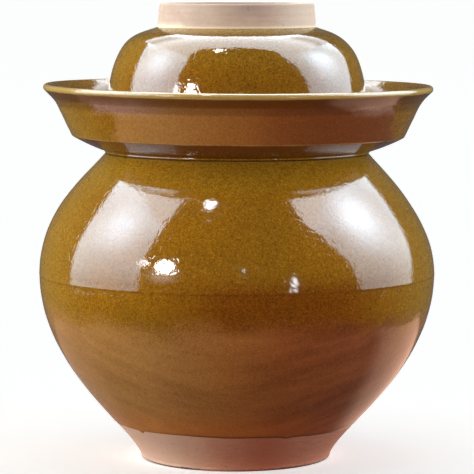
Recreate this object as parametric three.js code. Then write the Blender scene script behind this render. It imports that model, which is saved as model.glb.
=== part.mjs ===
// A fermentation crock of glazed stoneware with a water-seal moat. Millimetres, +Z up, foot on z = 0.
// Every piece is turned about the Z axis, as on a potter's wheel. The jar is thrown in four sections,
// luted together at flat lands before firing: lower body, upper body, neck collar and water moat.
// The outer lid is an upturned bowl that stands in the moat, with the bowl's foot ring as its handle.
// The inner lid, a stepped plate with a knob, closes the mouth beneath it.

import * as THREE from "three";

const { degToRad } = THREE.MathUtils;
const point = (radius, height) => new THREE.Vector2(radius, height);

// Jar body: radii and heights of the outside, and the clay's thickness
const footRadius = 59;
const footEdge = 1.5; // rounding of the foot's lower edge
const footLean = degToRad(38); // lean of the wall where it leaves the foot
const bellyRadius = 125;
const bellyHeight = 118; // widest circle, where the two halves are luted
const shoulderRise = 73; // from the belly seam up to the land under the moat
const shoulderLean = degToRad(48); // lean of the shoulder where it meets the moat
const jarWall = 7.5;
const baseThickness = 10;
const landThickness = 8; // clay under the moat, around the mouth

// How long each outline keeps its end direction, as a share of the rise
const footReach = 0.386;
const lowerBellyReach = 0.472;
const upperBellyReach = 0.41;
const shoulderReach = 0.356;

// Mouth and neck collar
const mouthRadius = 56;
const collarWall = 8;
const collarHeight = 50;
const collarEdge = 2; // rounding of the collar's top edges
const landWidth = 19.5; // land outside the collar that carries the moat

// Water moat
const moatGap = 16.5; // room for water outside the lid
const moatFloor = 15; // floor's height above the land
const moatWall = 6.5;
const moatLean = degToRad(26.3);
const moatWallRun = 21; // length of the leaning wall, below the lip
const lipLean = degToRad(41);
const lipRun = 11.5;

// Outer lid
const sealGap = 12.5; // room for water between collar and lid
const lidWall = 6.5;
const lidEdge = 2; // rounding of the lid's rim
const lidTopThickness = 6;
const lidTopLean = degToRad(65); // lean of the dome where it meets the foot ring
const lidWallReach = 0.955;
const lidTopReach = 0.48;
const lidHeadroom = 9; // from the inner lid's knob up to the lid's ceiling
const ringRadius = 49.5;
const ringWall = 8;
const ringHeight = 15;
const ringDraft = 1.25; // how much the ring narrows towards its top
const ringEdge = 1.5;

// Inner lid
const plateLedge = 5; // how far the plate lies over the collar
const plateRim = 4; // plate's thickness at its edge
const plateThickness = 5.5; // plate's thickness at the knob
const plateEdge = 1.5;
const plugDepth = 5;
const knobBaseRadius = 9;
const knobWaistRadius = 6.5;
const knobWaistHeight = 4;
const knobRadius = 11;
const knobHeight = 11;
const knobLand = 2; // flat round the knob on the plate

// Clearances
const luteGap = 0.3; // between the collar and the moat's bore
const seatGap = 0.3; // under a lid that only rests
const plugGap = 1.5; // between the inner lid's plug and the mouth

// Roundness of the solids
const ringSegments = 48;
const knobSegments = 32;
const wallSteps = 12;
const edgeSteps = 2;
const lipSteps = 6;

// Sizes that follow from those above
const collarRadius = mouthRadius + collarWall;
const neckRadius = collarRadius + landWidth;
const landHeight = bellyHeight + shoulderRise;
const lidRimRadius = collarRadius + sealGap + lidWall;
const moatFloorRadius = lidRimRadius + moatGap;
const lidSeat = landHeight + moatFloor + seatGap;
const plateSeat = landHeight + collarHeight + seatGap;
const lidHeight = plateSeat + plateThickness + knobHeight + lidHeadroom + lidTopThickness - lidSeat;

const amberGlaze = new THREE.MeshStandardMaterial({ color: 0x8c5e16, roughness: 0.12, metalness: 0 });
const bareClay = new THREE.MeshStandardMaterial({ color: 0xcdb096, roughness: 0.85, metalness: 0 });

// Direction that rises along a wall leaning outwards by that angle, and the wall's outward normal
const upAlong = (lean) => point(Math.sin(lean), Math.cos(lean));
const outwardFrom = (lean) => point(Math.cos(lean), -Math.sin(lean));

// A piece thrown on the wheel: a section outline, run anticlockwise, turned about the Z axis
function turned(name, outline, material, segments = ringSegments) {
  const geometry = new THREE.LatheGeometry(outline, segments);
  geometry.rotateX(Math.PI / 2);
  const mesh = new THREE.Mesh(geometry, material);
  mesh.name = name;
  return mesh;
}

// Points of a round edge about a centre, anticlockwise from one angle to another
function roundEdge(centre, radius, from, to, steps = edgeSteps) {
  return new THREE.EllipseCurve(centre.x, centre.y, radius, radius, from, to).getPoints(steps);
}

// Outline between two ends that leaves the first and reaches the second along given directions
function wallCurve(start, startReach, startWay, end, endReach, endWay) {
  return new THREE.CubicBezierCurve(
    start,
    start.clone().addScaledVector(startWay, startReach),
    end.clone().addScaledVector(endWay, -endReach),
    end,
  );
}

// The inside of a wall: its outside moved by the clay's thickness, between two heights, from the top down
function insideOf(curve, thickness, low, high) {
  const points = [];
  for (let i = 0; i <= wallSteps; i += 1) {
    const along = curve.getTangent(i / wallSteps);
    const inward = point(-along.y, along.x);
    points.push(curve.getPoint(i / wallSteps).addScaledVector(inward, thickness));
  }
  const kept = points.filter((p) => p.y > low && p.y < high);
  return [cutAt(points, low), ...kept, cutAt(points, high)].reverse();
}

// Where a rising line of points passes a height, or its nearer end moved to that height
function cutAt(points, height) {
  const next = points.findIndex((p) => p.y > height);
  if (next === 0) return point(points[0].x, height);
  if (next < 0) return point(points.at(-1).x, height);
  const [below, above] = [points[next - 1], points[next]];
  return below.clone().lerp(above, (height - below.y) / (above.y - below.y));
}

function lowerBody() {
  const rise = bellyHeight - footEdge;
  const outside = wallCurve(
    point(footRadius, footEdge),
    footReach * rise,
    upAlong(footLean),
    point(bellyRadius, bellyHeight),
    lowerBellyReach * rise,
    upAlong(0),
  );
  const inside = insideOf(outside, jarWall, baseThickness, bellyHeight);
  inside[0].x = bellyRadius - jarWall;
  return turned(
    "lower_body",
    [
      point(0, 0),
      ...roundEdge(point(footRadius - footEdge, footEdge), footEdge, -Math.PI / 2, 0),
      ...outside.getPoints(wallSteps).slice(1),
      ...inside,
      point(0, baseThickness),
    ],
    amberGlaze,
  );
}

function upperBody() {
  const outside = wallCurve(
    point(bellyRadius, 0),
    upperBellyReach * shoulderRise,
    upAlong(0),
    point(neckRadius, shoulderRise),
    shoulderReach * shoulderRise,
    upAlong(-shoulderLean),
  );
  const underLand = shoulderRise - landThickness;
  const inside = insideOf(outside, jarWall, 0, underLand);
  inside.at(-1).x = bellyRadius - jarWall;
  return turned(
    "upper_body",
    [
      ...outside.getPoints(wallSteps),
      point(mouthRadius, shoulderRise),
      point(mouthRadius, underLand),
      ...inside,
      point(bellyRadius, 0),
    ],
    amberGlaze,
  );
}

function neckCollar() {
  const edgeHeight = collarHeight - collarEdge;
  return turned(
    "neck_collar",
    [
      point(collarRadius, 0),
      ...roundEdge(point(collarRadius - collarEdge, edgeHeight), collarEdge, 0, Math.PI / 2),
      ...roundEdge(point(mouthRadius + collarEdge, edgeHeight), collarEdge, Math.PI / 2, Math.PI),
      point(mouthRadius, 0),
      point(collarRadius, 0),
    ],
    amberGlaze,
  );
}

function waterMoat() {
  const boreRadius = collarRadius + luteGap;
  const floorCorner = point(moatFloorRadius, moatFloor);
  const lowerEdge = floorCorner.clone().addScaledVector(outwardFrom(moatLean), moatWall);
  const bend = lowerEdge.clone().addScaledVector(upAlong(moatLean), moatWallRun);
  const tip = bend.clone().addScaledVector(upAlong(lipLean), lipRun);
  const lipCentre = tip.clone().addScaledVector(outwardFrom(lipLean), -moatWall / 2);
  const mitre = moatWall / Math.cos((lipLean - moatLean) / 2);
  const insideBend = bend.clone().addScaledVector(outwardFrom((moatLean + lipLean) / 2), -mitre);
  return turned(
    "water_moat",
    [
      point(neckRadius, 0),
      lowerEdge,
      bend,
      ...roundEdge(lipCentre, moatWall / 2, -lipLean, Math.PI - lipLean, lipSteps),
      insideBend,
      floorCorner,
      point(boreRadius, moatFloor),
      point(boreRadius, 0),
      point(neckRadius, 0),
    ],
    amberGlaze,
  );
}

function lidBowl() {
  const outside = wallCurve(
    point(lidRimRadius, lidEdge),
    lidWallReach * (lidHeight - lidEdge),
    upAlong(0),
    point(ringRadius, lidHeight),
    lidTopReach * (lidRimRadius - ringRadius),
    upAlong(-lidTopLean),
  );
  const ceiling = lidHeight - lidTopThickness;
  const innerRadius = lidRimRadius - lidWall;
  const inside = insideOf(outside, lidWall, lidEdge, ceiling);
  return turned(
    "lid_bowl",
    [
      ...outside.getPoints(wallSteps),
      point(0, lidHeight),
      point(0, ceiling),
      ...inside.slice(0, -1),
      ...roundEdge(point(innerRadius + lidEdge, lidEdge), lidEdge, Math.PI, 1.5 * Math.PI),
      ...roundEdge(point(lidRimRadius - lidEdge, lidEdge), lidEdge, 1.5 * Math.PI, 2 * Math.PI),
    ],
    amberGlaze,
  );
}

function lidFootRing() {
  const topRadius = ringRadius - ringDraft;
  const innerRadius = ringRadius - ringWall;
  const edgeHeight = ringHeight - ringEdge;
  return turned(
    "lid_foot_ring",
    [
      point(ringRadius, 0),
      ...roundEdge(point(topRadius - ringEdge, edgeHeight), ringEdge, 0, Math.PI / 2),
      ...roundEdge(point(innerRadius + ringEdge, edgeHeight), ringEdge, Math.PI / 2, Math.PI),
      point(innerRadius, 0),
      point(ringRadius, 0),
    ],
    bareClay,
  );
}

function innerLidPlate() {
  const plateRadius = mouthRadius + plateLedge;
  const plugRadius = mouthRadius - plugGap;
  return turned(
    "inner_lid_plate",
    [
      point(0, -plugDepth),
      ...roundEdge(point(plugRadius - plateEdge, plateEdge - plugDepth), plateEdge, -Math.PI / 2, 0),
      point(plugRadius, 0),
      point(plateRadius, 0),
      ...roundEdge(point(plateRadius - plateEdge, plateRim - plateEdge), plateEdge, 0, Math.PI / 2),
      point(knobBaseRadius + knobLand, plateThickness),
      point(0, plateThickness),
    ],
    amberGlaze,
  );
}

function innerLidKnob() {
  const headHeight = knobHeight - knobWaistHeight;
  const stem = new THREE.QuadraticBezierCurve(
    point(knobBaseRadius, 0),
    point(knobWaistRadius, knobWaistHeight / 2),
    point(knobWaistRadius, knobWaistHeight),
  );
  const underHead = point(knobRadius, knobWaistHeight + headHeight / 2);
  const head = new THREE.EllipseCurve(0, underHead.y, knobRadius, headHeight / 2, 0, Math.PI / 2);
  return turned(
    "inner_lid_knob",
    [point(0, 0), ...stem.getPoints(edgeSteps + 1), ...head.getPoints(lipSteps)],
    amberGlaze,
    knobSegments,
  );
}

// Groups what is lifted as one and stands it at its height above the floor
function standing(height, ...pieces) {
  const group = new THREE.Group();
  group.position.z = height;
  return group.add(...pieces);
}

const crock = new THREE.Group();
crock.add(
  lowerBody(),
  standing(bellyHeight, upperBody()),
  standing(landHeight, neckCollar(), waterMoat()),
  standing(plateSeat, innerLidPlate(), standing(plateThickness, innerLidKnob())),
  standing(lidSeat, lidBowl(), standing(lidHeight, lidFootRing())),
);

export default crock;
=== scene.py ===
import math

import bpy
from mathutils import Matrix, Vector


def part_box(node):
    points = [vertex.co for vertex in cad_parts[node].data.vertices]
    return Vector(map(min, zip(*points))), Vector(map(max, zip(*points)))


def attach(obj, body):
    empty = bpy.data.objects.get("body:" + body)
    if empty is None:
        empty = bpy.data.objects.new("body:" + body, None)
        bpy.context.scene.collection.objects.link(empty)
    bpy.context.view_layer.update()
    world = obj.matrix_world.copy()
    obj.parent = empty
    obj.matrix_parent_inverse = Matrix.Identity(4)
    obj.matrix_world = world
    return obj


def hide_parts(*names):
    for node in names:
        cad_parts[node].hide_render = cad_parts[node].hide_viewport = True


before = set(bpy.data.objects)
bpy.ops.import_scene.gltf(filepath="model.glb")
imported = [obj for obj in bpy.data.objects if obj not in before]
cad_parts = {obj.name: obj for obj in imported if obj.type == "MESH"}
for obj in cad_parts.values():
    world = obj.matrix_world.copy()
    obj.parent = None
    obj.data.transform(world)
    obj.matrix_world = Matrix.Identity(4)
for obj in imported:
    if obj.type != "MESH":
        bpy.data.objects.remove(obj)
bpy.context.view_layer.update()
mm = 0.001
print("frame loaded:", ", ".join(sorted(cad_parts)))


class Wire:  # a socket of a node tree; arithmetic on it adds Math nodes
    def __init__(self, tree, socket=None):
        self.tree = tree
        self.socket = socket

    def add(self, kind, settings=None, sockets=None, output=0):  # any other node
        node = self.tree.nodes.new(kind)
        for name, value in (settings or {}).items():
            if name == "stops":
                fillRamp(node.color_ramp, value)
            else:
                setattr(node, name, value)
        for key, value in (sockets or {}).items():
            socket = pickSocket(node.inputs, key)
            if isinstance(value, Wire):
                self.tree.links.new(value.socket, socket)
            else:
                socket.default_value = value
        return Wire(self.tree, pickSocket(node.outputs, output) if node.outputs else None)

    def out(self, output):  # another output of the same node
        return Wire(self.tree, pickSocket(self.socket.node.outputs, output))

    def maths(self, operation, *others):
        inputs = dict(enumerate((self, *others)))
        return self.add("ShaderNodeMath", {"operation": operation}, inputs)

    def __add__(self, other):
        return self.maths("ADD", other)

    def __sub__(self, other):
        return self.maths("SUBTRACT", other)

    def __rsub__(self, other):
        return self.maths("MULTIPLY_ADD", -1, other)

    def __mul__(self, other):
        return self.maths("MULTIPLY", other)

    def __truediv__(self, other):
        return self.maths("DIVIDE", other)

    __radd__ = __add__
    __rmul__ = __mul__


def pickSocket(sockets, key):
    if isinstance(key, int):
        return sockets[key]
    return next(socket for socket in sockets if socket.enabled and socket.name == key)


def fillRamp(ramp, stops):
    while len(ramp.elements) < len(stops):
        ramp.elements.new(1.0)
    for element, (position, colour) in zip(ramp.elements, stops):
        element.position = position
        element.color = (*colour, 1)


def easing(wire, low, high):  # 0 at low, 1 at high, smooth between
    ends = {"Value": wire, "From Min": low, "From Max": high}
    return wire.add("ShaderNodeMapRange", {"interpolation_type": "SMOOTHSTEP"}, ends)


def bell(wire, centre, width):  # 1 at the centre, nearly 0 two widths away
    away = (wire - centre) / width
    return (away * away * -1).maths("EXPONENT")


def band(wire, ends):  # easing between two places given in mm
    low, high = ends
    return easing(wire, low * mm, high * mm)


def stripe(wire, size):  # a bell with its centre and width in mm
    centre, width = size
    return bell(wire, centre * mm, width * mm)


def noise(place, scale, detail=2.0, roughness=0.5, shift=0.0):  # shift picks another pattern
    sockets = {"Vector": place, "W": shift, "Scale": scale, "Detail": detail, "Roughness": roughness}
    return place.add("ShaderNodeTexNoise", {"noise_dimensions": "4D"}, sockets)


def swing(pattern, reach):  # noise to both sides of its middle
    return (pattern - 0.5) * reach


def rgba(colour):
    return colour if isinstance(colour, Wire) else (*colour, 1)


def blended(mask, below, above):  # one colour where the mask is 0, the other where it is 1
    sockets = {"Factor": mask, "A": rgba(below), "B": rgba(above)}
    return mask.add("ShaderNodeMix", {"data_type": "RGBA"}, sockets, "Result")


def principled(colour, rough, relief, name, value):  # relief in metres; name is one more socket
    normal = relief.add("ShaderNodeBump", {}, {"Strength": 1.0, "Distance": 1.0, "Height": relief})
    sockets = {"Base Color": colour, "Roughness": rough, "Normal": normal, name: value}
    return colour.add("ShaderNodeBsdfPrincipled", {}, sockets)


def split(vector):  # its X, from which out gives Y and Z
    return vector.add("ShaderNodeSeparateXYZ", {}, {0: vector})


def joined(*parts):
    return parts[0].add("ShaderNodeCombineXYZ", {}, dict(enumerate(parts)))


def drawnOut(place, share):  # a pattern read there runs round the piece
    stretch = {"operation": "MULTIPLY"}
    return place.add("ShaderNodeVectorMath", stretch, {0: place, 1: (share, share, 1)})


def objectPlace(start):
    return start.add("ShaderNodeTexCoord", {}, {}, "Object")


def attribute(start, name, output="Fac"):  # a value that the wheel left on the mesh
    return start.add("ShaderNodeAttribute", {"attribute_name": name}, {}, output)


def newCollection(name):
    collection = bpy.data.collections.new(name)
    bpy.context.scene.collection.children.link(collection)
    return collection


def newObject(name, data, home=bpy.context.scene.collection):
    item = bpy.data.objects.new(name, data)
    home.objects.link(item)
    return item


def newMaterial(name):
    material = bpy.data.materials.new(name)
    material.use_nodes = True
    material.node_tree.nodes.clear()
    return material, Wire(material.node_tree)


# Section outlines: lists of (radius, height) in millimetres, run anticlockwise


def sizesOf(node):  # radius, bottom and top
    low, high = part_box(node)
    return high.x / mm, low.z / mm, high.z / mm


def upAlong(degrees):  # up a wall that leans outwards by that angle
    return Vector((math.sin(math.radians(degrees)), math.cos(math.radians(degrees))))


def wallCurve(start, startHandle, end, endHandle, steps=60):
    bends = [Vector(start), Vector(start) + startHandle, Vector(end) - endHandle, Vector(end)]
    points = []
    for i in range(steps + 1):
        t = i / steps
        shares = [(1 - t) ** 3, 3 * t * (1 - t) ** 2, 3 * t * t * (1 - t), t**3]
        points.append(sum((share * bend for share, bend in zip(shares, bends)), Vector((0, 0))))
    return points


def insideOf(outside, wall, low, high):  # the wall's inner face, from the top down
    moved = []
    for i, place in enumerate(outside):
        along = outside[min(i + 1, len(outside) - 1)] - outside[max(i - 1, 0)]
        moved.append(place + Vector((-along.y, along.x)).normalized() * wall)
    kept = [place for place in moved if low < place.y < high]
    return [Vector((kept[-1].x, high)), *reversed(kept), Vector((kept[0].x, low))]


def roundEdge(centre, radius, fromDegrees, toDegrees, steps=8):
    points = []
    for i in range(steps + 1):
        angle = math.radians(fromDegrees + (toDegrees - fromDegrees) * i / steps)
        points.append(Vector(centre) + radius * Vector((math.cos(angle), math.sin(angle))))
    return points


def ringOutline(outer, wall, foot, top, edge, draft=0):  # an upright ring with a rounded top
    inner = outer - wall
    return [
        (outer, foot),
        *roundEdge((outer - draft - edge, top - edge), edge, 0, 90),
        *roundEdge((inner + edge, top - edge), edge, 90, 180),
        (inner, foot),
        (outer, foot),
    ]


def softened(before, corner, after, cut, steps=8):  # a corner cut back to a soft bend
    before, corner, after = Vector(before), Vector(corner), Vector(after)
    start = corner + (before - corner).normalized() * cut
    end = corner + (after - corner).normalized() * cut
    ts = [i / steps for i in range(steps + 1)]
    return [(1 - t) ** 2 * start + 2 * t * (1 - t) * corner + t * t * end for t in ts]


def filledIn(points, step, fineBands=()):  # no run longer than the step, shorter in the fine bands
    points = [Vector(place) for place in points]
    filled = [points[0]]
    for previous, place in zip(points, points[1:]):
        middle = (previous.y + place.y) / 2
        wanted = min([step, *(fine for low, high, fine in fineBands if low < middle < high)])
        runs = max(1, math.ceil((place - previous).length / wanted - 0.01))
        if (place - previous).length > 0.02:
            filled.extend(previous.lerp(place, k / runs) for k in range(1, runs + 1))
    return filled


def bendOf(points, joints, reach=0.9):  # turn of the outline per mm, above 0 where it stands out
    lengths = [0.0]
    for previous, place in zip(points, points[1:]):
        lengths.append(lengths[-1] + (place - previous).length)
    turns = [0.0] * len(points)
    for i in range(1, len(points) - 1):
        into, onward = points[i] - points[i - 1], points[i + 1] - points[i]
        turns[i] = math.atan2(into.x * onward.y - into.y * onward.x, into.dot(onward))
        if any((points[i] - Vector(joint)).length < 0.05 for joint in joints):
            turns[i] = 0.0
    spread = []
    for here in lengths:
        shares = [math.exp(-(((there - here) / reach) ** 2)) for there in lengths]
        spread.append(sum(t * s for t, s in zip(turns, shares)) / (reach * math.sqrt(math.pi)))
    return spread


def facingOf(points):  # 1 where the outline faces up, -1 where it faces down
    facing = []
    for i in range(len(points)):
        along = points[min(i + 1, len(points) - 1)] - points[max(i - 1, 0)]
        facing.append(-along.x / max(along.length, 1e-6))
    return facing


# The wheel: a node tree that turns an outline about the Z axis and gives it a thrown pot's unevenness

socketKinds = {int: "NodeSocketInt", float: "NodeSocketFloat", type(None): "NodeSocketMaterial"}
plainInputs = ("Around", "Sharp Angle", "Seed")  # the other numbers are mm
wheelInputs = {
    "Around": 224,
    "Ring Spacing": 17.0,  # from one throwing ring to the next
    "Ring Depth": 0.03,
    "Unround": 0.8,
    "Seam Height": 118.0,
    "Seam Ridge": 0.0,
    "Glaze Line": -1000.0,  # height at which the glaze ends above the foot
    "Glaze Depth": 0.0,
    "Shoulder Height": 160.0,
    "Shoulder Spread": 22.0,
    "Shoulder Drift": 0.0,
    "Brim Drift": 0.0,
    "Brim Drop": 0.0,
    "Brim Tilt": 0.0,
    "Foot Drift": 0.0,
    "Trim Height": -1000.0,  # flat face that carries a trimming spiral
    "Trim Radius": 41.0,
    "Trim Depth": 0.0,
    "Sharp Angle": math.radians(44),
    "Seed": 3.0,
    "Finish": None,
}

glazeEdge = {  # mm
    "tilt": (1.15, 3.2),  # size and phase of its slow waves
    "wave": (0.25, 1.9),
    "ragged": 1.6,
    "roll": (-0.2, 0.7),  # the thick edge, from where the clay ends
    "behindRoll": (0.9, 4),
    "evenOut": (60, 20),
    # degrees round from the front, half width in degrees, reach
    "runs": [(310.5, 1.4, 1.9), (24, 2.6, 0.8), (97, 2.2, 2.6), (171, 1.8, 1.7), (238, 3.0, 1.4)],
}
wheelBands = {  # heights or radii in mm between which the wall begins to lean or sink
    "nearAxis": (0, 12),
    "moatFloor": (199, 203),
    "moatFloorRadius": (97, 88),
    "brim": (188, 206),
    "brimRadius": (66, 82),
    "lip": (208, 236),
    "lipRadius": (90, 110),
    "foot": (70, 0),
}
wheelSizes = {"ridge": 1.5, "spiralStep": 3.6, "trimmed": 0.8, "trimFade": 2, "weld": 0.008}  # mm
wheelSockets = {}  # identifiers by name


def wheelTree():
    tree = bpy.data.node_groups.new("thrownOnWheel", "GeometryNodeTree")
    face = tree.interface
    face.new_socket("Outline", in_out="INPUT", socket_type="NodeSocketGeometry")
    for name, value in wheelInputs.items():
        socket = face.new_socket(name, in_out="INPUT", socket_type=socketKinds[type(value)])
        wheelSockets[name] = socket.identifier
        if value is not None:
            socket.default_value = value if name in plainInputs else value * mm
    face.new_socket("Piece", in_out="OUTPUT", socket_type="NodeSocketGeometry")
    start = Wire(tree)
    given = start.add("NodeGroupInput").out

    # one column of the grid for each step round, one row for each point of the outline
    rows = start.add("GeometryNodeAttributeDomainSize", {}, {0: given("Outline")}, "Point Count")
    around = given("Around")
    grid = start.add("GeometryNodeMeshGrid", {}, {"Vertices X": around + 1, "Vertices Y": rows}, "Mesh")
    index = start.add("GeometryNodeInputIndex")
    column = (index / rows + 0.0001).maths("FLOOR")
    row = index - column * rows

    def ofOutline(kind, value):
        sockets = {0: given("Outline"), "Value": value, "Index": row}
        return start.add("GeometryNodeSampleIndex", {"data_type": kind}, sockets, "Value")

    def named(name):
        kind = "GeometryNodeInputNamedAttribute"
        return start.add(kind, {"data_type": "FLOAT"}, {"Name": name}, "Attribute")

    bend = ofOutline("FLOAT", named("bend"))
    facing = ofOutline("FLOAT", named("facing"))
    radius = split(ofOutline("FLOAT_VECTOR", start.add("GeometryNodeInputPosition")))
    height = radius.out("Z")
    turn = column / around * math.tau
    sine = turn.maths("SINE")
    cosine = turn.maths("COSINE") * -1
    true = joined(radius * sine, radius * cosine, height)
    thrown = start.add("GeometryNodeSetPosition", {}, {"Geometry": grid, "Position": true})

    def kept(geometry, kind, name, value):  # stored for the glaze to read
        sockets = {"Geometry": geometry, "Name": name, "Value": value}
        settings = {"data_type": kind, "domain": "POINT"}
        return start.add("GeometryNodeStoreNamedAttribute", settings, sockets)

    thrown = kept(thrown, "FLOAT_VECTOR", "wheelPlace", true)
    thrown = kept(thrown, "FLOAT", "bend", bend)
    thrown = kept(thrown, "FLOAT", "facing", facing)

    # throwing rings climb in a spiral, and the wall is never quite round
    seed = given("Seed")
    slow = noise(true, 9.0, 1.0, 0.5, seed)
    patchy = noise(true, 26.0, 2.0, 0.5, seed + 7)
    climb = height / given("Ring Spacing") * math.tau
    rings = (climb + turn).maths("SINE") + (climb * 2.7 + turn * 3).maths("SINE") * 0.25
    rings = rings * given("Ring Depth") * (patchy * 2)
    unround = swing(slow, given("Unround"))
    w = wheelSizes
    ridge = bell(height, given("Seam Height"), w["ridge"] * mm) * given("Seam Ridge") * (patchy * 2)

    # the glaze ends in a rolled, uneven edge above the bare foot
    e = glazeEdge
    tilt, tiltPhase = e["tilt"]
    wave, wavePhase = e["wave"]
    line = given("Glaze Line") + (turn + tiltPhase).maths("SINE") * (tilt * mm)
    line = line + (turn * 3 + wavePhase).maths("SINE") * (wave * mm)
    line = line + swing(patchy, e["ragged"] * mm)
    for angle, width, reach in e["runs"]:
        line = line - bell(turn, math.radians(angle), math.radians(width)) * (reach * mm)
    above = height - line
    roll = band(above, e["roll"]) * (1 - 0.45 * band(above, e["behindRoll"]))
    glazeStep = roll * given("Glaze Depth") * band(above, e["evenOut"])
    thrown = kept(thrown, "FLOAT", "aboveLine", above)

    # the shoulder leans a little, and the brim dried out of true round a level moat floor
    b = wheelBands
    nearAxis = band(radius, b["nearAxis"])
    swell = (rings + unround + ridge + glazeStep) * nearAxis
    shoulder = bell(height, given("Shoulder Height"), given("Shoulder Spread"))
    shoulder = shoulder * given("Shoulder Drift") * nearAxis
    level = easing(facing, 0.7, 0.95) * band(height, b["moatFloor"])
    level = level * band(radius, b["moatFloorRadius"])
    brim = band(height, b["brim"]) * band(radius, b["brimRadius"]) * (1 - level)
    lift = band(height, b["lip"]) * band(radius, b["lipRadius"])
    sag = (turn * 2).maths("COSINE") * -1 * lift * given("Brim Drop")
    sag = sag - (sine + cosine * 0.4) * brim * given("Brim Tilt")
    footing = band(height, b["foot"]) * nearAxis * given("Foot Drift")
    spiral = (radius / (w["spiralStep"] * mm) * math.tau + turn).maths("SINE") + swing(patchy, 1.5)
    trim = bell(height, given("Trim Height"), w["trimmed"] * mm) * given("Trim Depth") * nearAxis
    trim = trim * easing(radius, given("Trim Radius"), given("Trim Radius") - w["trimFade"] * mm)
    aside = sine * swell + shoulder + footing + brim * given("Brim Drift")
    offset = joined(aside, cosine * swell, sag + spiral * trim)
    thrown = start.add("GeometryNodeSetPosition", {}, {"Geometry": thrown, "Offset": offset})
    weld = {"Geometry": thrown, "Distance": w["weld"] * mm}
    thrown = start.add("GeometryNodeMergeByDistance", {}, weld)

    # smooth walls, crisp arrises
    smooth = "GeometryNodeSetShadeSmooth"
    thrown = start.add(smooth, {"domain": "FACE"}, {"Geometry": thrown, "Shade Smooth": True})
    angle = start.add("GeometryNodeInputMeshEdgeAngle", {}, {}, "Unsigned Angle")
    larger = {"data_type": "FLOAT", "operation": "GREATER_THAN"}
    crisp = start.add("FunctionNodeCompare", larger, {0: angle, 1: given("Sharp Angle")})
    crisp = {"Geometry": thrown, "Selection": crisp, "Shade Smooth": False}
    thrown = start.add(smooth, {"domain": "EDGE"}, crisp)
    thrown = start.add("GeometryNodeRealizeInstances", {}, {"Geometry": thrown})
    finish = given("Finish")
    thrown = start.add("GeometryNodeSetMaterial", {}, {"Geometry": thrown, "Material": finish})
    start.add("NodeGroupOutput", {}, {"Piece": thrown})
    return tree


wheel = wheelTree()
pieces = newCollection("crockPieces")


def throwPiece(node, body, slot, points, inputs, joints=()):  # an outline becomes the piece for a node
    mesh = bpy.data.meshes.new(node + "Outline")
    corners = [(place.x * mm, 0, place.y * mm) for place in points]
    mesh.from_pydata(corners, [(i, i + 1) for i in range(len(points) - 1)], [])
    for name, values in (("bend", bendOf(points, joints)), ("facing", facingOf(points))):
        mesh.attributes.new(name, "FLOAT", "POINT").data.foreach_set("value", values)
    outline = newObject(node + "Outline", mesh)
    modifier = outline.modifiers.new("wheel", "NODES")
    modifier.node_group = wheel
    for name, value in inputs.items():
        modifier[wheelSockets[name]] = value if name in plainInputs else value * mm
    modifier[wheelSockets["Finish"]] = finishes[slot]
    graph = bpy.context.evaluated_depsgraph_get()
    spun = outline.evaluated_get(graph)
    finished = bpy.data.meshes.new_from_object(spun, preserve_all_data_layers=True, depsgraph=graph)
    outline.modifiers.remove(modifier)
    bpy.data.objects.remove(outline)
    bpy.data.meshes.remove(mesh)
    piece = newObject(node + "Piece", finished, pieces)
    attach(piece, body)
    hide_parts(node)
    print("thrown:", node, len(finished.polygons), "faces")


# Amber glaze over stoneware, bare where it was wiped off the foot and the lid's recess

glaze = {
    "amber": (0.268, 0.106, 0.004),
    "olive": (0.226, 0.094, 0.005),
    "gold": (0.270, 0.142, 0.014),
    "pale": (0.36, 0.19, 0.03),
    "tableReflection": [  # painted reflection of a warm table, with painted shade where it is dark in the middle right; from left to right
        (0.10, (0.32, 0.145, 0.035)),
        (0.30, (0.36, 0.158, 0.042)),
        (0.48, (0.32, 0.108, 0.023)),
        (0.60, (0.245, 0.064, 0.014)),
        (0.70, (0.205, 0.050, 0.013)),
        (0.84, (0.175, 0.046, 0.015)),
        (0.94, (0.300, 0.120, 0.045)),
    ],
    # painted pink reflection under the moat's lip
    "lipReflection": (0.42, 0.22, 0.15),
    # painted shade under the moat
    "under": (0.125, 0.030, 0.007),
    "straw": (0.50, 0.35, 0.12),  # where it breaks over an edge
    "pool": (0.075, 0.018, 0.003),  # where it gathers in a hollow
    "seamShade": (0.165, 0.040, 0.001),  # painted shade under the seam
    "speck": (0.07, 0.02, 0.004),
    "clay": (0.59, 0.225, 0.125),
    "clayPale": (0.74, 0.49, 0.34),
    "clayBuff": (0.46, 0.315, 0.22),
    "clayDark": (0.46, 0.16, 0.088),
    "clayRed": (0.44, 0.11, 0.05),
    "gloss": 0.07,
    "index": 1.35,
    "clayRoughness": 0.6,
    "tableReflectionWidth": 250,  # mm from the ramp's start to its end
    "shades": [(1, 0.55), (1.15, 0.32), (1.3, 0.1)],  # of red, green and blue, by grain and by painted bounce light
}

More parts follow.
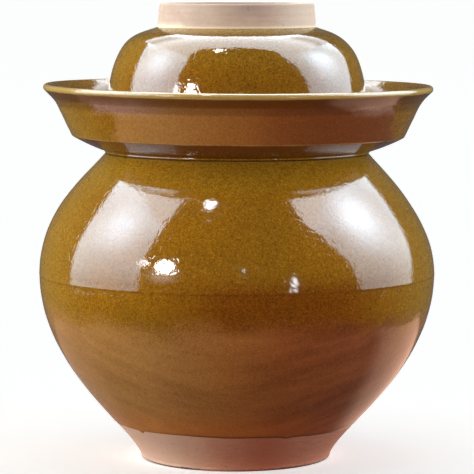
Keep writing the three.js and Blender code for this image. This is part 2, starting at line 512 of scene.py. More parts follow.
# Where its colours lie, by height unless the name says otherwise
glazeBands = {  # mm, from where one starts to where it is full
    "shoulder": (168, 184),
    "troughLight": (205, 212),  # painted light inside the moat
    "troughLightRadius": (92, 100),
    "crown": (264, 269),
    "crownRadius": (62, 53),
    "seamShade": (131, 114),
    "seamShadeLeft": (-62, 0),
    "seamShadeRight": (108, 60),
    "low": (105, 87),
    "moat": (197, 201),
    "moatLeft": (-78, -72),
    "moatRight": (97, 91),
    "moatShade": (196, 203),
    "moatShadeAcross": (0, 55),
    "underRadius": (70, 78),
    "leftLipReflectionEdge": (-90, -86),
    "leftLipReflectionFade": (-30, -75),
    "rightLipReflectionEdge": (96, 93),
    "rightLipReflectionFade": (66, 80),
    "arcsFaintAcross": (78, 105),
    "arcsStrongAcross": (-10, 55),
    "lid": (236, 240),
    "footBounce": (46, 27),
    "creaseRadius": (78, 82),
    "lipShade": (225, 228),
    "lipShadeRadius": (110, 114),
    "rolledAcross": (-52, -20),
    "recess": (270, 270.5),
    "recessRadius": (46, 45.5),
    "bare": (0.1, -0.25),  # above the glaze's edge
    "clayShadeFront": (0, -20),
    "clayLitAcross": (4, -48),
    "contactShadow": (2.0, 0.6),
    "contactShadowAcross": (14, 30),
    "clayBuff": (200, 220),
}
glazeStripes = {  # centre and width
    "lipReflection": (226, 3.5),
    "crease": (194.2, 1.8),
    "seam": (117.4, 0.55),
    "rolled": (0.35, 0.75),  # above the glaze's edge
    "clayRed": (20, 17),  # across
}


def amberGlaze():
    g, b, stripes = glaze, glazeBands, glazeStripes
    material, start = newMaterial("amberGlaze")
    place = objectPlace(start)
    bend = attribute(start, "bend")
    above = attribute(start, "aboveLine")
    facing = attribute(start, "facing")
    x = split(attribute(start, "wheelPlace", "Vector"))
    y = x.out("Y")
    height = x.out("Z")
    radius = (x * x + y * y).maths("SQRT")

    clouds = noise(place, 16, 3, 0.55)
    drifts = noise(place, 60, 3, 0.6, 4)
    grain = noise(place, 950, 1, 0.5)
    mottle = noise(place, 420, 2, 0.6, 2)

    # cloudy amber, golden at the left and right sides from painted side light, pale inside the moat from
    # painted light, and dark under the seam from painted shade
    wander = swing(drifts, 12 * mm) + swing(clouds, 20 * mm)
    colour = blended(easing(clouds, 0.35, 0.65), g["amber"], g["olive"])
    # golden towards the left and right sides: painted side light
    sideways = x / radius.maths("MAXIMUM", 20 * mm)
    colour = blended(easing(sideways.maths("ABSOLUTE"), 0.68, 1.0) * 0.8, colour, g["gold"])
    shoulder = band(height, b["shoulder"]) * easing(facing, 0.2, 0.5)
    colour = blended(shoulder * 0.45, colour, g["gold"])
    # painted light on the inside of the moat's wall
    troughLight = band(radius, b["troughLightRadius"]) * band(height, b["troughLight"]) * easing(facing, 0.05, 0.3)
    colour = blended(troughLight * 0.9, colour, g["pale"])
    crown = band(radius, b["crownRadius"]) * band(height, b["crown"])
    colour = blended(crown * 0.45, colour, g["straw"])
    # painted shade: a dark band under the seam, centre right
    seamShade = band(height, b["seamShade"]) * band(x + wander * 2, b["seamShadeLeft"])
    seamShade = seamShade * band(x + wander, b["seamShadeRight"])
    colour = blended(seamShade * 0.9, colour, g["seamShade"])

    # painted reflection of a warm table, red low on the wall and on the moat, the more so to the right,
    # with painted shade in its dark middle right
    across = (x + wander * 0.6) / (g["tableReflectionWidth"] * mm) + 0.5
    tableReflection = start.add("ShaderNodeValToRGB", {"stops": g["tableReflection"]}, {0: across}, "Color")
    low = band(height + wander * 1.4, b["low"])
    ragged = x + swing(drifts, 16 * mm) + swing(mottle, 8 * mm)
    overhang = easing(facing, -0.2, -0.4)
    moatRight = band(ragged, b["moatRight"])
    moat = overhang * band(height, b["moat"]) * band(ragged, b["moatLeft"]) * moatRight
    colour = blended(low.maths("MAXIMUM", moat * 0.9), colour, tableReflection)
    # the moat's right side is darker: painted shade
    moatShade = band(x + wander, b["moatShadeAcross"]) * (moatRight * 0.3 + 0.7)
    moatShade = moatShade * band(height, b["moatShade"]) * overhang
    # painted shade on faces that look steeply down, such as the moat's underside
    under = easing(facing, -0.6, -0.85) * band(radius, b["underRadius"])
    colour = blended((moatShade * 0.5).maths("MAXIMUM", under * 0.9), colour, g["under"])
    # painted pink reflection under the moat's lip, at its left and right
    lipReflection = stripe(height + swing(drifts, 6 * mm), stripes["lipReflection"]) * easing(facing, -0.1, -0.3)
    leftLipReflection = band(ragged, b["leftLipReflectionEdge"]) * band(ragged, b["leftLipReflectionFade"])
    rightLipReflection = band(ragged, b["rightLipReflectionEdge"]) * band(ragged, b["rightLipReflectionFade"])
    colour = blended(lipReflection * leftLipReflection.maths("MAXIMUM", rightLipReflection), colour, g["lipReflection"])

    # grain and painted glints all over, softer where the table's reflection is painted, with the arcs of
    # the dip low on the wall
    arc = height - sideways * sideways * (34 * mm) + wander * 0.15
    arcs = noise(joined(x * 0.14, y * 0.14, arc), 120, 3, 0.6, 3) - 0.5
    arcs = arcs * low * (1 - band(x, b["arcsFaintAcross"]) * 0.6)
    arcs = arcs * (band(x, b["arcsStrongAcross"]) * 0.7 + 0.8)
    tableReflected = low.maths("MAXIMUM", moat)
    glints = easing(noise(place, 1250, 0, 0.5, 8), 0.56, 0.76)
    fine = swing(grain, 1.3) + swing(mottle, 0.7) + glints * 0.42 - 0.06
    shade = fine * (1 - tableReflected * 0.5) + swing(drifts, 0.22) + arcs * 0.9
    shade = shade - band(height, b["lid"]) * 0.08
    footBounce = band(height, b["footBounce"])  # painted bounce light, lighter and redder towards the foot
    shades = [shade * byGrain + footBounce * byBounce + 1 for byGrain, byBounce in g["shades"]]
    sockets = {"Factor": 1.0, "A": colour, "B": joined(*shades)}
    colour = start.add("ShaderNodeMix", {"data_type": "RGBA", "blend_type": "MULTIPLY"}, sockets, "Result")

    # straw-coloured where it breaks over edges, dark where it pools in hollows, and painted shade under
    # the lip
    crease = stripe(height, stripes["crease"]) * easing(facing, -0.3, -0.6)
    crease = crease * band(radius, b["creaseRadius"])
    # painted shade under the lip
    lipShade = easing(facing, -0.5, -0.66) * band(height, b["lipShade"]) * band(radius, b["lipShadeRadius"])
    pooledAndShaded = easing(bend * -1 + swing(drifts, 0.02), 0.01, 0.08)
    pooledAndShaded = pooledAndShaded.maths("MAXIMUM", crease).maths("MAXIMUM", lipShade * 0.75)
    broken = easing(bend + swing(drifts, 0.22) + swing(mottle, 0.1), 0.16, 0.42)
    colour = blended(pooledAndShaded * 0.8, colour, g["pool"])
    colour = blended(broken * 0.42, colour, g["straw"])
    iron = noise(place, 700, 0, 0.5, 9)
    colour = blended(easing(iron, 0.76, 0.82) * 0.3, colour, g["speck"])
    seam = stripe(height + swing(mottle, 0.6 * mm), stripes["seam"])
    colour = blended(seam * easing(drifts, 0.35, 0.6) * 0.35, colour, g["pool"])
    rolled = stripe(above, stripes["rolled"]) * (band(x, b["rolledAcross"]) * 0.6 + 0.15)
    colour = blended(rolled, colour, g["pool"])

    # bare clay; painted shade makes the front of the foot redder right of the middle, painted light makes
    # it paler to the left, and a painted contact shadow darkens its lower edge
    recess = band(radius, b["recessRadius"]) * band(height, b["recess"])
    bare = band(above, b["bare"]).maths("MAXIMUM", recess)
    streaks = noise(drawnOut(place, 0.12), 900, 3, 0.6, 5)
    clay = blended(easing(clouds * 0.5 + streaks * 0.5, 0.36, 0.64), g["clayDark"], g["clay"])
    clay = blended(easing(mottle, 0.5, 0.78) * 0.2, clay, g["clayPale"])
    # painted shade: the front of the foot redder and darker right of the middle
    red = stripe(x, stripes["clayRed"]) * band(y, b["clayShadeFront"])
    clay = blended(red * 0.8, clay, g["clayRed"])
    # painted light: the foot paler to the left
    pale = band(x + swing(drifts, 24 * mm), b["clayLitAcross"])
    clay = blended(pale * 0.72, clay, g["clayPale"])
    # painted contact shadow along the foot's lower edge
    contactShadow = band(height + swing(mottle, 2.0 * mm), b["contactShadow"])
    contactShadow = contactShadow * band(x.maths("ABSOLUTE"), b["contactShadowAcross"])
    clay = blended(contactShadow * 0.8, clay, g["speck"])
    clay = blended(band(height, b["clayBuff"]) * 0.8, clay, g["clayBuff"])
    clay = blended(easing(iron, 0.72, 0.8) * 0.35, clay, g["speck"])

    gloss = g["gloss"] + swing(drifts, 0.03) + broken * 0.05
    pits = easing(noise(place, 360, 0, 0.5, 7), 0.56, 0.68)
    peel = swing(noise(place, 480, 1, 0.5, 6), 0.03 * mm)
    peel = peel + swing(noise(place, 750, 1, 0.6, 7), 0.02 * mm) - pits * (0.023 * mm)
    glazed = principled(colour, gloss, peel, "IOR", g["index"])
    tooth = swing(streaks, 0.09 * mm) + swing(grain, 0.045 * mm)
    rough = g["clayRoughness"] + swing(mottle, 0.2)
    unglazed = principled(clay, rough, tooth, "Specular IOR Level", 0.4)
    surface = start.add("ShaderNodeMixShader", {}, {0: bare, 1: glazed, 2: unglazed})
    start.add("ShaderNodeOutputMaterial", {}, {"Surface": surface})
    return material


# Bare stoneware of the lid's foot ring

ringClay = {
    "buff": (0.46, 0.325, 0.23),
    "pale": (0.53, 0.40, 0.30),
    "pink": (0.39, 0.245, 0.165),
    "ringShade": (0.30, 0.195, 0.155),
    "cream": (0.80, 0.63, 0.44),
    "speck": (0.16, 0.075, 0.04),
    "roughness": 0.82,
    "ringShadeAcross": (8, 14),  # mm, centre and width
    "ringShadeFront": (10, -20),  # mm, from start to full
    "ringShadeTop": (277, 285),
    "litEnd": (14, 44),
    "line": (273.3, 0.8),  # mm, centre and width
    "crawl": (273, 2.4),
    "crawlAcross": (-28, -36),  # mm, from start to full
}


def bareClay():
    c = ringClay
    material, start = newMaterial("bareClay")
    place = objectPlace(start)
    bend = attribute(start, "bend")
    clouds = noise(place, 30, 3, 0.6)
    grain = noise(place, 1300, 2, 0.6)
    mottle = noise(place, 380, 2, 0.6, 2)
    lines = noise(drawnOut(place, 0.1), 900, 3, 0.6, 5)
    colour = blended(easing(clouds, 0.3, 0.7), c["buff"], c["pink"])
    colour = blended(easing(lines * 0.6 + mottle * 0.4, 0.40, 0.68) * 0.35, colour, c["pale"])
    x = split(place)
    height = x.out("Z")
    wander = swing(clouds, 20 * mm) + swing(mottle, 5 * mm)
    # painted shade on the front of the ring, near its middle and towards its top
    ringShade = stripe(x + wander, c["ringShadeAcross"]) * band(x.out("Y"), c["ringShadeFront"])
    ringShade = ringShade * band(height + wander * 0.3, c["ringShadeTop"])
    colour = blended(ringShade * 0.8, colour, c["ringShade"])
    # painted light: paler towards the ring's right end
    colour = blended(band(x, c["litEnd"]) * 0.6, colour, c["pale"])
    line = stripe(height + swing(mottle, 1.2 * mm), c["line"])
    crawl = band(x + wander * 0.4, c["crawlAcross"]) * stripe(height + wander * 0.4, c["crawl"])
    colour = blended((line * 0.6).maths("MAXIMUM", crawl * 0.8), colour, c["cream"])
    colour = blended(easing(bend, 0.12, 0.4) * 0.15, colour, c["pale"])
    colour = blended(easing(noise(place, 650, 0, 0.5, 9), 0.76, 0.82) * 0.4, colour, c["speck"])
    relief = swing(lines, 0.12 * mm) + swing(grain, 0.06 * mm) + swing(mottle, 0.07 * mm)
    rough = c["roughness"] + swing(mottle, 0.15)
    surface = principled(colour, rough, relief, "Specular IOR Level", 0.25)
    start.add("ShaderNodeOutputMaterial", {}, {"Surface": surface})
    return material


finishes = {"amber_glaze": amberGlaze(), "bare_clay": bareClay()}
print("glaze and clay mixed")

lowerBody = {
    "footRadius": 60.3,
    "footEdge": 2.4,
    "footLean": 20.4,  # degrees
    "footReach": 0.177,  # how far the wall keeps its lean, as a share of the rise
    "bellyReach": 0.514,
    "wall": 7.5,
    "base": 10,
    "floorBend": 6,  # softness of the corner inside
    "hollow": 0.8,  # under the base
    "hollowEdge": 13,  # in from the foot's outside
    "restWidth": 10,  # of the ring that it stands on
    "wheel": {
        "Around": 280,
        "Seam Ridge": 0.12,
        "Glaze Line": 23.8,
        "Glaze Depth": 0.3,
        "Foot Drift": -0.8,
        "Trim Radius": 44,
        "Trim Depth": 0.25,
    },
}


def throwLowerBody():
    s = lowerBody
    bellyRadius, _, bellyHeight = sizesOf("lower_body")
    rise = bellyHeight - s["footEdge"]
    outside = wallCurve(
        (s["footRadius"], s["footEdge"]),
        s["footReach"] * rise * upAlong(s["footLean"]),
        (bellyRadius, bellyHeight),
        s["bellyReach"] * rise * upAlong(0),
    )
    inside = insideOf(outside, s["wall"], s["base"], bellyHeight)
    inside[0].x = bellyRadius - s["wall"]
    floorBend = softened(inside[-2], inside[-1], (0, s["base"]), s["floorBend"])
    foot = s["footRadius"]
    hollow = (foot - s["hollowEdge"], s["hollow"])
    rest = (foot - s["restWidth"], 0)
    points = [
        (0, s["hollow"]),
        *softened((0, s["hollow"]), hollow, rest, 1.5),
        *softened(hollow, rest, (foot, 0), 1),
        *roundEdge((foot - s["footEdge"], s["footEdge"]), s["footEdge"], -90, 0),
        *outside[1:],
        *[place for place in inside if place.y > floorBend[0].y],
        *floorBend,
        (0, s["base"]),
    ]
    fine = [(19, 27, 0.5), (114, 119, 0.7)]
    inputs = {**s["wheel"], "Trim Height": s["hollow"]}
    throwPiece("lower_body", "crock", "amber_glaze", filledIn(points, 2.2, fine), inputs, [outside[-1]])


throwLowerBody()

brimLean = {"Brim Drift": 0.8, "Brim Tilt": 0.75}  # of both pieces that meet at the crease
upperBody = {
    "bellyReach": 0.507,
    "shoulderReach": 0.171,
    "shoulderLean": 37.4,
    "neckRadius": 83.4,
    "neckHeight": 193.3,  # crease under the moat
    "crease": (-1.6, 0.5),  # how far behind the neck's edge it lies
    "mouthRadius": 56,
    "land": 8,
    "wall": 7.5,
    "brow": 1.1,  # softness of the edge at the crease
    "seat": 72,  # radius inside which the land is at its true height
    "wheel": {"Around": 256, "Seam Ridge": 0.12, "Shoulder Drift": -0.85, **brimLean},
}


def creasePlace():
    s = upperBody
    return Vector((s["neckRadius"], s["neckHeight"])) + Vector(s["crease"])


def throwUpperBody():
    s = upperBody
    bellyRadius, _, bellyHeight = sizesOf("lower_body")
    landHeight = sizesOf("upper_body")[2]
    rise = s["neckHeight"] - bellyHeight
    neck = Vector((s["neckRadius"], s["neckHeight"]))
    crease = creasePlace()
    outside = wallCurve(
        (bellyRadius, bellyHeight),
        s["bellyReach"] * rise * upAlong(0),
        neck,
        s["shoulderReach"] * rise * upAlong(-s["shoulderLean"]),
    )
    inside = insideOf(outside, s["wall"], bellyHeight, landHeight - s["land"])
    inside[-1].x = bellyRadius - s["wall"]
    brow = softened(outside[-3], neck, crease, s["brow"])
    mouth = s["mouthRadius"]
    points = [
        *[place for place in outside if place.y < brow[0].y],
        *brow,
        crease,
        (s["seat"], crease.y),
        (s["seat"] - 2, landHeight),
        *softened(neck, (mouth, landHeight), (mouth, 0), 0.6, 3),
        *softened((mouth, landHeight), (mouth, landHeight - s["land"]), inside[0], 2, 5),
        *inside,
        outside[0],
    ]
    fine = [(116, 122, 0.6), (189, 196, 0.4)]
    joints = [outside[0], crease]
    throwPiece("upper_body", "crock", "amber_glaze", filledIn(points, 2.2, fine), s["wheel"], joints)


waterMoat = {
    "edge": (104.85, 204.3),  # corner under the wall
    "bend": (115.3, 226.0),  # where the wall turns out to the lip
    "lip": (120.55, 234.2),  # centre of the rolled lip
    "lipRadius": 2.2,
    "inside": (109.9, 229.6),
    "floorRadius": 99.5,
    "floor": 15,  # above the land
    "clear": 0.3,  # between it and the land
    "bore": 64.3,
    "bead": 0.9,  # clay rolled into the crease
    "sag": 0.6,  # of the underside between its edges
    "edgeBend": 1.0,  # softness of the corners
    "lipBend": 4.2,
    "floorBend": 6,
    "wheel": {"Around": 288, "Ring Spacing": 9, "Ring Depth": 0.04, "Brim Drop": 0.4, **brimLean},
}


def throwWaterMoat():
    s = waterMoat
    edge, bend, lip, inside = (Vector(s[name]) for name in ("edge", "bend", "lip", "inside"))
    landHeight = sizesOf("water_moat")[1]
    floor = Vector((s["floorRadius"], landHeight + s["floor"]))
    neck = creasePlace()
    way = lip - bend
    lean = math.degrees(math.atan2(way.x, way.y) + math.asin(s["lipRadius"] / way.length))
    brim = roundEdge(lip, s["lipRadius"], -lean, 180 - lean, 14)
    bead = roundEdge(neck + Vector((1.0, 1.0)), s["bead"], -100, 25, 8)
    across = edge - bead[-1]
    under = []
    for t in (0.15, 0.3, 0.45, 0.6, 0.75, 0.88):
        under.append(bead[-1] + across * t - Vector((0, 4 * s["sag"] * t * (1 - t))))
    clear = landHeight + s["clear"]
    points = [
        neck,
        *bead,
        *under,
        *softened(under[-1], edge, bend, s["edgeBend"]),
        *softened(edge, bend, brim[0], s["lipBend"]),
        *brim,
        *softened(brim[-1], inside, floor, s["floorBend"]),
        *softened(inside, floor, (s["bore"], floor.y), s["floorBend"]),
        (s["bore"], floor.y),
        (s["bore"], clear),
        (upperBody["seat"] - 3, clear),
        (upperBody["seat"], neck.y),
        neck,
    ]
    fine = [(193, 196, 0.3), (200, 207, 0.5)]
    joints = [neck, *bead]
    throwPiece("water_moat", "crock", "amber_glaze", filledIn(points, 1.6, fine), s["wheel"], joints)


throwUpperBody()
throwWaterMoat()

neckCollar = {
    "wall": 8,
    "edge": 2.0,
    "wheel": {"Around": 160, "Ring Spacing": 8, "Ring Depth": 0.12, "Unround": 0.3},
}


def throwNeckCollar():
    s = neckCollar
    outer, foot, top = sizesOf("neck_collar")
    points = ringOutline(outer, s["wall"], foot, top, s["edge"])
    throwPiece("neck_collar", "crock", "amber_glaze", filledIn(points, 1.8), s["wheel"])


throwNeckCollar()

lidBowl = {
    "wall": 6.5,
    "edge": 2.0,
    "top": 6,  # thickness of the crown
    "crownLean": 69.4,
    "wallReach": 0.935,
    "crownReach": 0.434,
    "ringRadius": 49.9,
    "rim": 82.5,
    "crownDrop": 6,  # how far under the top it leans most
    "wheel": {
        "Around": 224,
        "Ring Spacing": 15,
        "Ring Depth": 0.025,
        "Unround": 0.5,
        "Shoulder Spread": 7,
        "Shoulder Drift": -0.6,
        "Trim Depth": 0.22,
        "Seed": 11.0,
    },
}


def throwLidBowl():
    s = lidBowl
    _, foot, top = sizesOf("lid_bowl")
    rim, edge = s["rim"], s["edge"]
    outside = wallCurve(
        (rim, foot + edge),
        s["wallReach"] * (top - foot - edge) * upAlong(0),
        (s["ringRadius"], top),
        s["crownReach"] * (rim - s["ringRadius"]) * upAlong(-s["crownLean"]),
    )
    inside = insideOf(outside, s["wall"], foot + edge, top - s["top"])
    ceiling = softened((0, top - s["top"]), inside[0], inside[1], 5)
    inner = rim - s["wall"]
    points = [
        *outside,
        (0, top),
        (0, top - s["top"]),
        *ceiling,
        *[place for place in inside[:-1] if place.y < ceiling[-1].y],
        *roundEdge((inner + edge, foot + edge), edge, 180, 270),
        *roundEdge((rim - edge, foot + edge), edge, 270, 360),
    ]
    inputs = {**s["wheel"], "Shoulder Height": top - s["crownDrop"], "Trim Height": top}
    joints = [(s["ringRadius"], top)]
    throwPiece("lid_bowl", "outer_lid", "amber_glaze", filledIn(points, 1.8), inputs, joints)


throwLidBowl()

footRing = {
    "radius": 49.9,
    "wall": 8,
    "draft": 1.3,
    "edge": 0.9,
    "wheel": {"Around": 192, "Ring Spacing": 4.2, "Ring Depth": 0.06, "Unround": 0.7, "Seed": 5.0},
}


def throwFootRing():
    s = footRing
    _, foot, top = sizesOf("lid_foot_ring")
    points = ringOutline(s["radius"], s["wall"], foot, top, s["edge"], s["draft"])
    throwPiece("lid_foot_ring", "outer_lid", "bare_clay", filledIn(points, 0.9), s["wheel"])


throwFootRing()

innerPlate = {
    "edge": 1.5,
    "rim": 4,
    "plugRadius": 54.5,
    "plugDepth": 5,
    "land": 11,
    "trimDrop": 0.7,
    "wheel": {"Around": 160, "Unround": 0.4, "Trim Radius": 57, "Trim Depth": 0.15, "Seed": 8.0},
}


def throwInnerPlate():
    s = innerPlate
    outer, foot, top = sizesOf("inner_lid_plate")
    seat = foot + s["plugDepth"]
    plug, edge = s["plugRadius"], s["edge"]
    points = [
        (0, foot),
        *roundEdge((plug - edge, foot + edge), edge, -90, 0),
        *softened((plug, foot), (plug, seat), (outer, seat), 1),
        *softened((plug, seat), (outer, seat), (outer, top), 0.8),
        *roundEdge((outer - edge, seat + s["rim"] - edge), edge, 0, 88),
        (s["land"], top),
        (0, top),
    ]
    inputs = {**s["wheel"], "Trim Height": top - s["trimDrop"]}
    throwPiece("inner_lid_plate", "inner_lid", "amber_glaze", filledIn(points, 1.4), inputs)


innerKnob = {
    "base": 9,
    "waist": 6.5,
    "waistHeight": 4,
    "wheel": {"Around": 96, "Ring Depth": 0.0, "Unround": 0.3, "Seed": 8.0},
}


def throwInnerKnob():
    s = innerKnob
    head, foot, top = sizesOf("inner_lid_knob")
    middle = (foot + s["waistHeight"] + top) / 2
    half = top - middle
    crown = roundEdge((0, 0), 1, -55, 90, 24)
    points = [
        (0, foot),
        *softened((0, foot), (s["base"], foot), (s["waist"], foot + s["waistHeight"]), 0.5, 4),
        *softened((s["base"], foot), (s["waist"], foot + s["waistHeight"] - 1), (head, middle), 2),
        *[(head * spot.x, middle + half * spot.y) for spot in crown],
    ]
    throwPiece("inner_lid_knob", "inner_lid", "amber_glaze", filledIn(points, 0.7), s["wheel"])


throwInnerPlate()
throwInnerKnob()

# Pale floor, flat for some metres round the crock and rising far off

floorSizes = {
    "colour": (0.915, 0.912, 0.908),
    "shaded": (0.85, 0.90, 0.92),
    "far": (0.975, 0.985, 0.985),
    "glow": 0.67,  # a lit table, so that the shadow stays pale
    "radii": [0, 0.25, 0.5, 1, 2, 4, 7, 10, 14, 18, 22, 26, 30, 34, 38, 42],
    "flat": 10,  # metres
    "rise": 3.7,
    "fade": (3, 9),  # where it turns into the far colour
    "around": 96,
}


def layFloor():
    s = floorSizes
    corners, faces = [], []
    for radius in s["radii"]:
        climb = max(0.0, (radius - s["flat"]) / (s["radii"][-1] - s["flat"]))
        level = s["rise"] * climb * climb
        for i in range(s["around"]):
            angle = math.tau * i / s["around"]
            corners.append((radius * math.cos(angle), radius * math.sin(angle), level))
    for ring in range(len(s["radii"]) - 1):
        for i in range(s["around"]):
            near, far = ring * s["around"], (ring + 1) * s["around"]
            onward = (i + 1) % s["around"]
            faces.append((near + i, far + i, far + onward, near + onward))
    mesh = bpy.data.meshes.new("floor")
    mesh.from_pydata(corners, [], faces)
    mesh.shade_smooth()
    floor = newObject("floor", mesh)

    material, start = newMaterial("paleFloor")
    place = objectPlace(start)
    away = start.add("ShaderNodeVectorMath", {"operation": "LENGTH"}, {0: place}, "Value")
    near = start.add("ShaderNodeBsdfDiffuse", {}, {"Color": (*s["shaded"], 1)})
    glow = start.add("ShaderNodeEmission", {}, {"Color": (*s["colour"], 1), "Strength": s["glow"]})
    near = start.add("ShaderNodeAddShader", {}, {0: near, 1: glow})
    far = start.add("ShaderNodeEmission", {}, {"Color": (*s["far"], 1), "Strength": 1.0})
    surface = start.add("ShaderNodeMixShader", {}, {0: easing(away, *s["fade"]), 1: near, 2: far})
    start.add("ShaderNodeOutputMaterial", {}, {"Surface": surface})
    mesh.materials.append(material)
    return floor


floor = layFloor()
floorOnly = newCollection("floorOnly")
floorOnly.objects.link(floor)
floor.light_linking.receiver_collection = floorOnly  # its glow adds no light to the crock
floor.visible_glossy = False  # the cards stand in for it in the glaze
print("floor laid")

# Soft light: each lamp either lights the clay softly or shows as a gleam in the glaze

studio = {
    "away": 0.8,  # metres from the axis to each bright wall
    "low": 0.01,
    "high": 1.15,
    "leftWall": {
        "side": -1,
        "front": (-0.58, -0.58),  # Y of the wall's edges, at its bottom and top
        "back": (0.19, 0.88, 3),  # and how late the edge swings back
        "hot": (-0.12, 0.71, 1.25),  # Y, height, strength
        "level": 0.96,
    },
    "rightWall": {
        "side": 1,
        "front": (-0.28, -0.54),
        "back": (0.33, 1.12, 1.4),
        "hot": (0.04, 0.74, 1.55),
        "level": 0.77,
    },
    "wallGleam": (10.0, 12.2, 14.0),
    "hotGleam": (10.0, 12.6, 15.0),
    "hotSize": (0.24, 0.26),
    "lowRise": (-0.15, 0.45),  # heights over which a wall brightens
    "highRise": (0.6, 1.1),
    "backFade": (0.0, 0.6),
    "edgeSoft": 0.012,
    "ceiling": (-0.24, 1.15),  # Y of its edges at the middle
    "ceilingSide": -0.55,  # and of its front edge where it meets the walls
    "ceilingGleam": (12.5, 14.0, 15.2),
    "ceilingBack": (0.72, 1.0),  # shares of its depth over which it brightens
    "cornerBack": (0.55, 0.75),  # its far corners are dimmer
    "cornerAcross": (0.3, 0.5),
    "cornerDim": 0.68,
    "cards": {"rightCard": (1, 1.0), "leftCard": (-1, 0.3)},  # side and strength
    "card": (1.5, 0.86, 0.60),
    "cardAcross": (0.05, 0.34),
    "cardDeep": (-0.08, 0.25),
    "cardLevel": 0.003,
    "cardFront": (0.2, 0.025),  # slant and softness of its front edge
    "cardBack": 0.05,
    "cardSide": (0.22, 0.285, 0.268),  # slant of its outer edge, and where that ends and is full
    "cardRise": (0.08, 0.2),
    "gleamAway": 1.4,
    "gleamAim": 0.16,  # height on the axis
    "gleamColour": (0.97, 0.98, 1),
    "gleams": {  # degrees from the front and up, width, height, strength, share from which it fades
        "topLamp": (-30, 68, 0.12, 0.24, 70, 0.9),
        "frontLamp": (-41, 15, 0.28, 0.24, 80, 0.9),
        "frontLampSmall": (-54, 16, 0.17, 0.12, 34, 0.9),
        "frontGlow": (-42, 8, 0.62, 0.5, 5, 0.1),
        "rightLamp": (32, 3, 0.05, 0.34, 45, 0.9),
        "middleLamp": (4, 15, 0.035, 0.04, 50, 0.9),
    },
    "sideColour": (0.93, 1.03, 1.12),
    "fillColour": (1, 0.97, 0.9),
    "softAim": 0.15,
    "softLamps": {  # degrees from the front and up, distance, width, height, colour, strength
        "leftSoft": (-88, 22, 1.0, 1.3, 1.1, "sideColour", 4.4),
        "rightSoft": (85, 22, 1.0, 1.3, 1.1, "sideColour", 2.9),
        "overheadSoft": (0, 72, 1.2, 1.5, 1.3, "fillColour", 0.15),
        "frontSoft": (-12, 5, 1.5, 1.6, 1.2, "fillColour", 1.85),
    },
    "sunHeight": 78,  # degrees
    "sunAngle": 80,
    "sunLight": 0.98,
    "world": 0.12,
    "worldColour": (1, 0.96, 0.92),
}


def areaLamp(name, centre, facing, width, tall, gleam, shape="RECTANGLE"):
    lamp = bpy.data.lights.new(name, "AREA")
    lamp.shape = shape
    lamp.size = width
    lamp.size_y = tall
    lamp.energy = math.pi * width * tall  # a radiance of 1 from a rectangle
    lamp.use_nodes = True
    lamp.node_tree.nodes.clear()
    back = -Vector(facing).normalized()
    up = Vector((0, 1, 0)) if abs(back.z) > 0.99 else Vector((0, 0, 1))
    across = up.cross(back).normalized()
    turned = Matrix((across, back.cross(across), back)).transposed().to_4x4()
    lampObject = newObject(name, lamp)
    lampObject.matrix_world = Matrix.Translation(centre) @ turned
    lampObject.light_linking.receiver_collection = pieces
    lampObject.visible_diffuse = not gleam
    lampObject.visible_glossy = gleam
    start = Wire(lamp.node_tree)
    u = split(start.add("ShaderNodeNewGeometry", {}, {}, "Parametric"))
    return start, u, u.out("Y")


def lampEnd(start, colour, strength):
    glow = start.add("ShaderNodeEmission", {}, {"Color": rgba(colour), "Strength": strength})
    start.add("ShaderNodeOutputLight", {}, {"Surface": glow})


def hangWall(name):
    s, wall = studio, studio[name]
    side, front, back, hot = wall["side"], wall["front"], wall["back"], wall["hot"]
    nearest, furthest = min(front), back[1]
    width, tall = furthest - nearest, s["high"] - s["low"]
    centre = (side * s["away"], (nearest + furthest) / 2, (s["low"] + s["high"]) / 2)
    start, u, v = areaLamp(name, centre, (-side, 0, 0), width, tall, True)
    depth = (u if side > 0 else 1 - u) * width + nearest
    height = v * tall + s["low"]
    inFront = depth - (v * (front[1] - front[0]) + front[0])
    behind = v.maths("POWER", back[2]) * (back[1] - back[0]) + back[0] - depth
    soft = s["edgeSoft"]
    shown = easing(inFront, -soft, soft) * easing(behind, -soft, soft)
    glare = bell(depth, hot[0], s["hotSize"][0]) * bell(height, hot[1], s["hotSize"][1])
    rise = easing(height, *s["lowRise"]) * 0.72 + easing(height, *s["highRise"]) * 0.55 + 0.26
    colour = blended(glare, s["wallGleam"], s["hotGleam"])
    fade = 1 - easing(depth, *s["backFade"]) * 0.22
    lampEnd(start, colour, shown * (rise * fade * wall["level"] + glare * hot[2]))


def hangCeiling():
    s = studio
    middle, back = s["ceiling"]
    front = s["ceilingSide"]
    centre = (0, (front + back) / 2, s["high"])
    start, u, v = areaLamp("ceiling", centre, (0, 0, -1), 2 * s["away"], back - front, True)
    depth = v * (back - front) + front
    outwards = ((u - 0.5) * 2).maths("ABSOLUTE")
    edge = middle + (outwards - 0.5).maths("MAXIMUM", 0) * (2 * (front - middle))
    shown = easing(depth - edge, -s["edgeSoft"], s["edgeSoft"])
    corners = easing(v, *s["cornerBack"]) * easing(outwards, *s["cornerAcross"])
    strength = shown * (easing(v, *s["ceilingBack"]) * 0.5 + 1.0) * (1 - corners * s["cornerDim"])
    lampEnd(start, s["ceilingGleam"], strength)


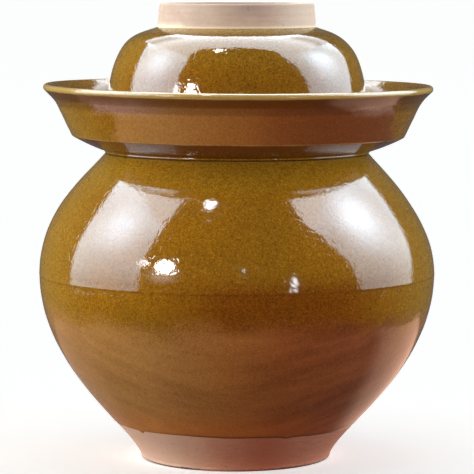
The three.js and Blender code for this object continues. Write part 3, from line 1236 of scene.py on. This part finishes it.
def layCard(name, side, level):  # a warm card on the table, beside the crock
    s = studio
    inner, outer = s["cardAcross"]
    front, back = s["cardDeep"]
    centre = (side * (inner + outer) / 2, (front + back) / 2, s["cardLevel"])
    start, u, v = areaLamp(name, centre, (0, 0, 1), outer - inner, back - front, True)
    outwards = (1 - u if side > 0 else u) * (outer - inner) + inner  # u runs to the left here
    depth = v * (back - front) + front
    frontSlant, soft = s["cardFront"]
    sideSlant, sideEnd, sideFull = s["cardSide"]
    shown = easing(depth + outwards * frontSlant, -soft, soft)
    shown = shown * easing(depth, back, back - s["cardBack"])
    shown = shown * easing(outwards - depth * sideSlant, sideEnd, sideFull)
    lampEnd(start, s["card"], shown * (easing(outwards, *s["cardRise"]) * 0.45 + 0.55) * level)


def wayTo(azimuth, elevation):  # degrees from the front to the right, and up
    a, e = math.radians(azimuth), math.radians(elevation)
    return Vector((math.sin(a) * math.cos(e), -math.cos(a) * math.cos(e), math.sin(e)))


def hangGleam(name, azimuth, elevation, width, tall, strength, core):  # a round lamp
    s = studio
    way = wayTo(azimuth, elevation)
    centre = Vector((0, 0, s["gleamAim"])) + way * s["gleamAway"]
    start, u, v = areaLamp(name, centre, -way, width, tall, True, "ELLIPSE")
    outwards = (((u - 0.5) * (u - 0.5) + (v - 0.5) * (v - 0.5)).maths("SQRT")) * 2
    lampEnd(start, s["gleamColour"], easing(outwards, 1.0, core) * strength)


def hangSoft(name, azimuth, elevation, away, width, tall, colour, strength):
    s = studio
    way = wayTo(azimuth, elevation)
    centre = Vector((0, 0, s["softAim"])) + way * away
    start = areaLamp(name, centre, -way, width, tall, False)[0]
    lampEnd(start, s[colour], strength)


hangWall("leftWall")
hangWall("rightWall")
hangCeiling()
for group, hang in (("cards", layCard), ("gleams", hangGleam), ("softLamps", hangSoft)):
    for name, values in studio[group].items():
        hang(name, *values)


def hangSun():
    s = studio
    sun = bpy.data.lights.new("floorSun", "SUN")
    sun.energy = s["sunLight"]
    sun.angle = math.radians(s["sunAngle"])
    sunObject = newObject("floorSun", sun)
    sunObject.rotation_euler = (math.radians(s["sunHeight"] - 90), 0, 0)
    sunObject.light_linking.receiver_collection = floorOnly


hangSun()
world = bpy.data.worlds.new("studioAir")
bpy.context.scene.world = world
world.use_nodes = True
air = world.node_tree.nodes["Background"]
air.inputs["Color"].default_value = (*studio["worldColour"], 1)
air.inputs["Strength"].default_value = studio["world"]
print("lamps hung")

view = {"from": (0, -1.772, 0.3131), "to": (0.0001, 0, 0.14), "lens": 213.4, "sensor": 36, "reach": 200}


def setCamera():
    lens = bpy.data.cameras.new("camera")
    lens.sensor_width = view["sensor"]
    lens.lens = view["lens"]
    lens.clip_end = view["reach"]
    camera = newObject("camera", lens)
    camera.location = view["from"]
    way = Vector(view["to"]) - Vector(view["from"])
    camera.rotation_euler = way.to_track_quat("-Z", "Y").to_euler()
    bpy.context.scene.camera = camera


setCamera()
bpy.context.scene.view_settings.view_transform = "Standard"
print("camera set")
